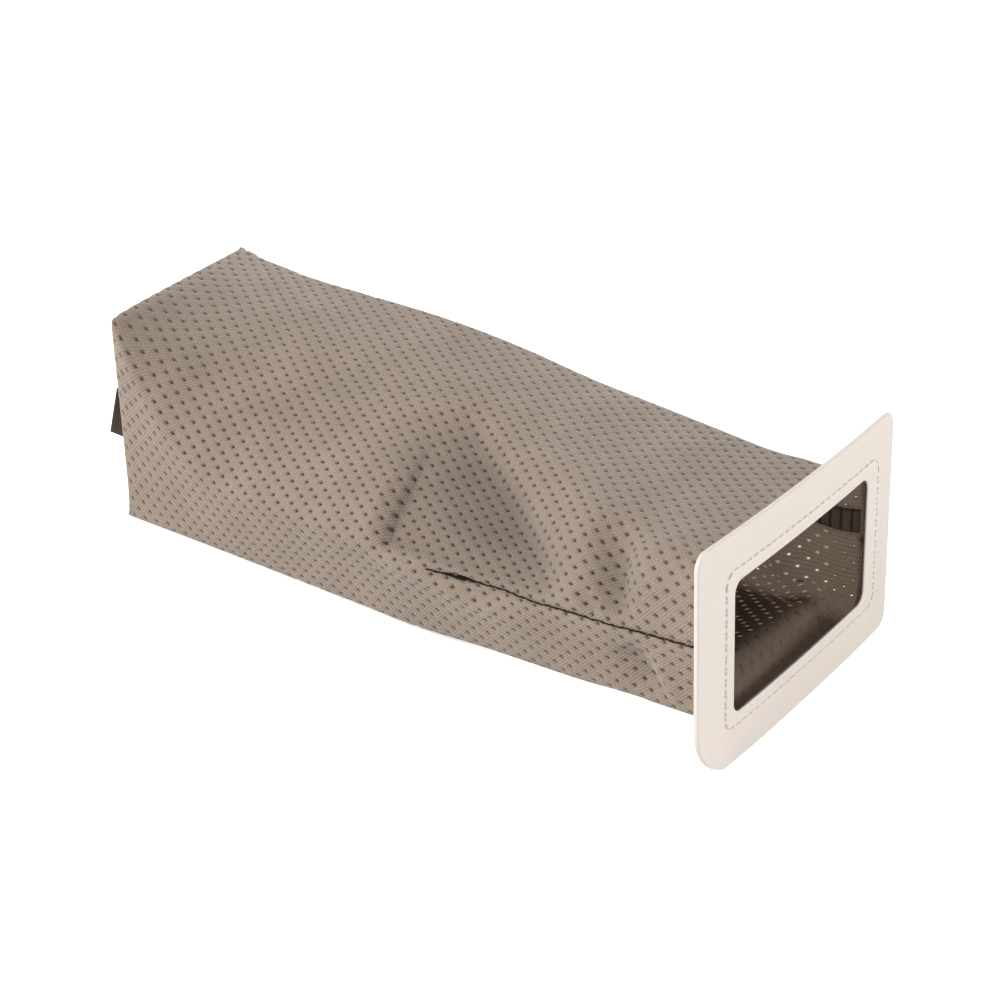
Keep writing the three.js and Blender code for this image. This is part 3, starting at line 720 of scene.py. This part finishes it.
overlock = overlock_material()
near_rows = np.arange(hem_rows + 8, rim_row - 6)
near_columns = np.arange(band_columns)
seam_band("near_seam_allowance", skin[near_rows][:, near_columns], skin_normals[near_rows][:, near_columns],
          "near_side_seam")
back_rows = np.arange(rim_row - 7, hem_rows, -1)
back_columns = back_node - np.arange(band_columns)
seam_band("back_seam_allowance", skin[back_rows][:, back_columns], skin_normals[back_rows][:, back_columns],
          "back_side_seam")
end_rows = len(skin) - 1 - np.arange(2 * cap_cells)
end_columns = np.arange(14, back_node - 13)
seam_band("end_seam_allowance", skin[end_rows][:, end_columns].transpose(1, 0, 2),
          skin_normals[end_rows][:, end_columns].transpose(1, 0, 2), "end_seam")

# The seams' dark sewing thread, sunk between the two panels. It swells at each stitch and wanders a
# little. At the near side it shows for about 80 mm, at the back and the far end all along.
thread_radius, thread_swell = 0.15, 0.08
end_thread_radius, end_thread_wander = 0.17, 0.08
near_sink, back_sink, end_sink = 0.35, 0.45, 0.1
near_thread_rows = 74
dark_thread = (0.016, 0.012, 0.009)


def thread_twist_group():
    """The twist of a sewing thread: bands across it, as a normal."""
    tree, given, result = new_group("Thread twist", {"Bands": "NodeSocketFloat"},
                                    {"Normal": "NodeSocketVector"})
    twist = add(tree, "ShaderNodeTexWave", Vector=object_place(tree), Scale=given["Bands"])
    bump = add(tree, "ShaderNodeBump", Height=twist["Fac"], Distance=0.0001, Strength=0.5)
    give(tree, result, Normal=bump["Normal"])
    return tree


thread_twist = thread_twist_group()


def thread_material(name, color, roughness, specular, bands):
    """Sewing thread in one colour."""
    material, tree, shader = new_material(name, color, roughness, specular)
    give(tree, shader, Normal=placed(tree, thread_twist, Bands=bands)["Normal"])
    return material


def tube(path, radius, sides=8):
    """A round cord carried along a path: the path plus radius (cos a, sin a) in the plane square to it."""
    tangent = unit(np.gradient(path, axis=0))
    side = unit(np.cross(tangent, np.broadcast_to([0.0, 0.0, 1.0], tangent.shape)))
    up = np.cross(side, tangent)
    angle = np.linspace(0, 2 * np.pi, sides, endpoint=False)[:, None]
    ring = side[:, None] * np.cos(angle) + up[:, None] * np.sin(angle)
    points = path[:, None] + ring * radius[:, None, None]
    index = np.arange(len(path) * sides).reshape(len(path), sides)
    return points.reshape(-1, 3), ring_faces(index[:-1], index[1:])


def thread_piece(name, path, radius):
    """A sewing thread whose radius falls to nothing at both ends."""
    radius[[0, -1]] = 1e-3
    thread = build(name, *tube(path, radius))
    fit(thread, sewing_thread)


def seam_thread(name, rows, column, sink):
    """Thread along a side seam, sunk below the skin, of radius thread_radius + thread_swell cos^6.
    Its height wanders by 0.08 sin 1.9 s + 0.05 sin (4.7 s + 1) along its length s."""
    line = skin[rows, column] - skin_normals[rows, column] * sink
    run = run_along(line)
    length = np.arange(0, run[-1], 0.3)
    path = np.stack([np.interp(length, run, line[:, i]) for i in range(3)], axis=-1)
    path[:, 2] += 0.08 * np.sin(length * 1.9) + 0.05 * np.sin(length * 4.7 + 1)
    thread_piece(name, path, thread_radius + thread_swell * np.cos(np.pi * length / stitch_run) ** 6)


sewing_thread = thread_material("dark_sewing_thread", dark_thread, 0.7, 0.1, 900.0)
back_thread_rows = np.arange(hem_rows + 2, rim_row)
seam_thread("near_seam_thread", back_thread_rows[:near_thread_rows], 0, near_sink)
seam_thread("back_seam_thread", back_thread_rows, back_node, back_sink)
end_share = np.linspace(0.04, 0.96, 260)
end_path = end_seam_line(end_share) - [0, end_sink, 0]
end_path += across_end_seam * end_thread_wander * np.sin(end_share * 160)[:, None]
thread_piece("end_seam_thread", end_path, np.full(len(end_path), end_thread_radius))

# The flange plate is one soft sheet of cream plastic, bowed so that both ends stand higher than its
# middle. Its lower left corner is cut back, so that it goes in one way round. A shallow groove for the
# lockstitch runs round the opening, whose edge is bevelled away behind.
plate_width, plate_corner, keyed_corner, keyed_flatness = 88.0, 3.5, 11.0, 0.4
opening_corner, stitch_corner = 2.8, 3.2
plate_bow, plate_tilt = 1.2, 1.0
edge_round = 0.35
groove_depth, groove_half_width, hollow_depth = 0.08, 0.45, 0.3
inner_band, outer_band = 3.6, 9.0
corner_points, side_points = 14, 40
cream = (0.86, 0.777, 0.707)


def plate_outline(width, height, radius, centre_x, last_radius=None, flatness=0.0):
    """Closed outline of a rectangle with arcs c + r (cos a, sin a) at its corners, the last one mixed with
    its chord by the flatness; then bowed by z + bow (x / half)^2 + tilt (x / half) (z / height)."""
    corners = []
    for sign_x, sign_z, turn in ((1, 1, 0), (-1, 1, 90), (-1, -1, 180), (1, -1, 270)):
        r = last_radius if turn == 180 and last_radius else radius
        t = np.linspace(0, 1, corner_points)[:, None]
        angle = np.radians(turn + 90 * t)
        centre = [centre_x + sign_x * (width / 2 - r), plate_height / 2 + sign_z * (height / 2 - r)]
        arc = centre + r * np.concatenate([np.cos(angle), np.sin(angle)], axis=1)
        chord = mix(arc[0], arc[-1], t)
        corners.append(mix(arc, chord, flatness if turn == 180 else 0))
    sides = [mix(corners[k][-1], corners[(k + 1) % 4][0], np.linspace(0, 1, side_points + 2)[1:-1, None])
             for k in range(4)]
    line = np.concatenate([part for pair in zip(corners, sides) for part in pair])
    share = line[:, 0] / (plate_width / 2)
    rise = plate_bow * share ** 2 + plate_tilt * share * line[:, 1] / plate_height
    return np.stack([line[:, 0], line[:, 1] + rise], axis=-1)


opening_line = plate_outline(opening_width, opening_height, opening_corner, opening_shift)
stitch_line = plate_outline(stitch_width, stitch_height, stitch_corner, stitch_shift)
plate_line = plate_outline(plate_width, plate_height, plate_corner, 0, keyed_corner, keyed_flatness)


def plate_ring(place, y):
    """One ring of the plate: place runs from 0 at the opening to 1 at the stitches and 2 at the edge."""
    flat = mix(mix(opening_line, stitch_line, min(place, 1)), plate_line, max(place - 1, 0))
    return np.stack([flat[:, 0], np.full(len(flat), y), flat[:, 1]], axis=-1)


def lean_back(points):
    """Turns points from the upright plate's frame by the plate's lean."""
    x, y, z = points[..., 0], points[..., 1], points[..., 2]
    return np.stack([x, y * np.cos(lean) + z * np.sin(lean), z * np.cos(lean) - y * np.sin(lean)], axis=-1)


# The plate's section as place and y: the bevel behind the opening, then round its front edge, over the
# groove and the shallow hollow beside it to the outer edge, and round that to the back
front = -plate_thickness
bend = np.radians([0, 30, 60, 90])
inner_round, outer_round = edge_round / inner_band, edge_round / outer_band
section = [(0.25, 0.0), (0.23, -0.04), (0.13, -0.5)]
section += [(inner_round * (1 - np.cos(a)), front + edge_round * (1 - np.sin(a))) for a in bend]
for d in np.linspace(-3, 8.4, 58):
    groove = groove_depth * np.exp(-(d / groove_half_width) ** 2)
    hollow = hollow_depth * smoothstep(d, -0.5, 0.6) * (1 - smoothstep(d, 0.6, 5.5))
    section.append((1 + d / (inner_band if d < 0 else outer_band), front + groove + hollow))
section += [(2 - outer_round * (1 - np.sin(a)), front + edge_round * (1 - np.cos(a))) for a in bend]
section += [(2 - outer_round * (1 - np.cos(a)), -edge_round * (1 - np.sin(a))) for a in bend]

rings = np.stack([plate_ring(place, y) for place, y in section])
a = np.arange(rings[..., 0].size).reshape(rings.shape[:2])
b = np.roll(a, -1, axis=0)
plate_faces = np.stack([a, b, np.roll(b, -1, axis=1), np.roll(a, -1, axis=1)], axis=-1).reshape(-1, 4)
plate = build("moulded_flange_plate", lean_back(rings).reshape(-1, 3), plate_faces)


def plastic_material():
    """Soft cream plastic with a faint mottle."""
    material, tree, shader = new_material("cream_plastic", cream, 0.48)
    mottle = add(tree, "ShaderNodeTexNoise", Vector=object_place(tree), Scale=900.0)
    bump = add(tree, "ShaderNodeBump", Height=mottle["Fac"], Distance=0.00005, Strength=0.3)
    give(tree, shader, Normal=bump["Normal"])
    return material


fit(plate, plastic_material(), "flange_plate")

# The lockstitch that holds plate and cloth together, in thread of the plate's own cream. Each stitch
# lies in the groove and dives into the plate at both ends.
stitch_pitch, stitch_length, stitch_radius = 2.7, 2.3, 0.15
stitch_dive, stitch_sink = 0.3, 0.05
closed_line = np.concatenate([stitch_line, stitch_line[:1]])
stitch_line_run = run_along(closed_line)
around = stitch_line_run[-1]
stitches = int(round(around / stitch_pitch))
across = np.linspace(-0.5, 0.5, 7)
stitch_y = front + groove_depth + stitch_dive * (2 * abs(across)) ** 4 - stitch_sink
stitch_radii = stitch_radius * np.sqrt(np.clip(1 - (2 * across) ** 6, 0.002, 1))
stitch_points, stitch_faces = [], []
for k in range(stitches):
    places = (k * around / stitches + across * stitch_length) % around
    x, z = (np.interp(places, stitch_line_run, closed_line[:, i]) for i in (0, 1))
    points, faces = tube(np.stack([x, stitch_y, z], axis=-1), stitch_radii, 6)
    stitch_points.append(points)
    stitch_faces.append(faces + k * len(points))
lockstitch = build("plate_lockstitch", lean_back(np.concatenate(stitch_points)), np.concatenate(stitch_faces))
fit(lockstitch, thread_material("cream_thread", cream, 0.6, 0.5, 700.0))

# The pull tab is a short piece of dark webbing folded in two and sewn into the end seam, browner on
# one leaf than on the other.
tab_width, tab_length, leaf_gap, leaf_thickness = 12.0, 8.0, 0.45, 0.6
tab_place, tab_twist = 0.3, 0.3
tab_drift = np.array([-5.0, 0.0, 4.0])
leaf_rows, turn_rows, tab_columns = 24, 5, 15
loop_room = 0.08

ends = np.linspace(-1, 1, tab_columns)
half_width = tab_width / 2
free_slope = mix(np.pi / 2, seam_slope, tab_twist)
root_share = tab_place + ends * half_width / np.hypot(far_width, far_height)
root_line = end_seam_line(root_share) + [0, clearance, 0]
free_line = end_seam_line(tab_place) + tab_drift + np.stack(
    [ends * half_width * np.cos(free_slope), np.full(tab_columns, tab_length),
     ends * half_width * np.sin(free_slope)], axis=-1)
leaf_t = np.linspace(0, 1, leaf_rows)
turn = np.linspace(0, np.pi, turn_rows + 2)[1:-1]
loop_t = np.concatenate([leaf_t, np.ones(turn_rows), leaf_t[::-1]])
loop_side = np.concatenate([np.full(leaf_rows, 1.0), np.cos(turn), np.full(leaf_rows, -1.0)])
loop_out = np.concatenate([np.zeros(leaf_rows), np.sin(turn), np.zeros(leaf_rows)])


def tab_surface(offset):
    """The folded strip's surface: root to free end and back, each leaf half the gap off the middle."""
    slope = mix(seam_slope, free_slope, loop_t)
    face = np.stack([-np.sin(slope), np.zeros_like(slope), np.cos(slope)], axis=-1)
    middle = mix(root_line, free_line, (loop_t * (1 - loop_room))[:, None, None])
    aside, out = (way[:, None, None] * (leaf_gap + offset) for way in (loop_side, loop_out))
    return middle + face[:, None] * aside + np.array([0, 1, 0]) * out


def webbing_material():
    """Dark plain weave: sin(90 v) sin(60 u), in one brown on the first leaf and another on the second."""
    material, tree, shader = new_material("dark_webbing", (0.06, 0.05, 0.04), 0.85)
    u, v = cloth_place(tree)
    second_leaf = maths(tree, "GREATER_THAN", v, 1.1)
    weft = maths(tree, "SINE", maths(tree, "MULTIPLY", v, 90.0))
    warp = maths(tree, "SINE", maths(tree, "MULTIPLY", u, 60.0))
    weave = maths(tree, "MULTIPLY", weft, warp)
    bump = add(tree, "ShaderNodeBump", Height=weave, Distance=0.0002, Strength=0.6)
    colour = blended(tree, second_leaf, (0.06, 0.041, 0.03, 1), (0.042, 0.042, 0.032, 1))
    give(tree, shader, Base_Color=colour, Normal=bump["Normal"])
    return material


tab_sheet = closed_sheet(tab_surface(leaf_thickness / 2), tab_surface(-leaf_thickness / 2))
tab_uv = sheet_uv(ends, np.arange(len(loop_t))[:, None] / leaf_rows)
tab = build("webbing_pull_tab", *tab_sheet, tab_uv)
fit(tab, webbing_material(), "pull_tab")

# The studio: a white floor and a white world, whose light is weaker than what the camera sees of them,
# a soft key lamp high at the near side, a soft fill lamp low before the plate, and the camera.
floor_reach = 6.0
floor_shadow_share, floor_shadow_reach = 0.5, 0.003
floor_glow, world_light = 0.45, 0.45
floor_mesh = bpy.data.meshes.new("studio_floor")
floor_corners = [(x * floor_reach, y * floor_reach, 0) for x, y in ((-1, -1), (1, -1), (1, 1), (-1, 1))]
floor_mesh.from_pydata(floor_corners, [], [(0, 1, 2, 3)])
floor = bpy.data.objects.new("studio_floor", floor_mesh)
bpy.context.scene.collection.objects.link(floor)
floor_material, tree, shader = new_material("white_floor", (0.9, 0.9, 0.9), 0.9, 0.0)
ray = add(tree, "ShaderNodeLightPath")
seen = maths(tree, "MAXIMUM", ray["Is Camera Ray"], ray["Is Transmission Ray"])
# Painted shadow: what the camera sees of the floor is dimmed by ambient occlusion close to the bag.
unshadowed = add(tree, "ShaderNodeAmbientOcclusion", Distance=floor_shadow_reach)["AO"]
brightness = maths(tree, "MULTIPLY_ADD", unshadowed, floor_shadow_share, floor_glow)
give(tree, shader, Emission_Color=(1, 1, 1, 1), Emission_Strength=maths(tree, "MULTIPLY", seen, brightness))
floor_mesh.materials.append(floor_material)

world = bpy.data.worlds.new("studio")
bpy.context.scene.world = world
world.use_nodes = True
tree = world.node_tree
ray = add(tree, "ShaderNodeLightPath")
seen = maths(tree, "MAXIMUM", ray["Is Camera Ray"], ray["Is Glossy Ray"])
give(tree, tree.nodes["Background"], Color=(1, 1, 1, 1),
     Strength=maths(tree, "MULTIPLY_ADD", seen, 1 - world_light, world_light))


def area_lamp(name, location, target, size, power):
    """A square soft lamp at location, facing target, power in watts."""
    lamp = bpy.data.lights.new(name, "AREA")
    lamp.size = size
    lamp.energy = power
    holder = bpy.data.objects.new(name, lamp)
    direction = Vector(target) - Vector(location)
    holder.rotation_euler = direction.to_track_quat("-Z", "Y").to_euler()
    holder.location = location
    bpy.context.scene.collection.objects.link(holder)


area_lamp("key_lamp", (-0.98, 0.56, 0.8), (0, 0, 0.02), 0.6, 14)
area_lamp("fill_lamp", (0.55, -1.1, 0.1), (0, -0.1, 0.02), 0.8, 10)

camera_data = bpy.data.cameras.new("camera")
camera_data.lens = 64.642
camera_data.sensor_width = 36
camera_data.clip_start = 0.01
camera = bpy.data.objects.new("camera", camera_data)
camera.location = (-0.315432, -0.237608, 0.217141)
camera.rotation_euler = np.radians([63.38121, -2.03803, -53.91868])
bpy.context.scene.collection.objects.link(camera)
bpy.context.scene.camera = camera
bpy.context.scene.view_settings.view_transform = "Standard"
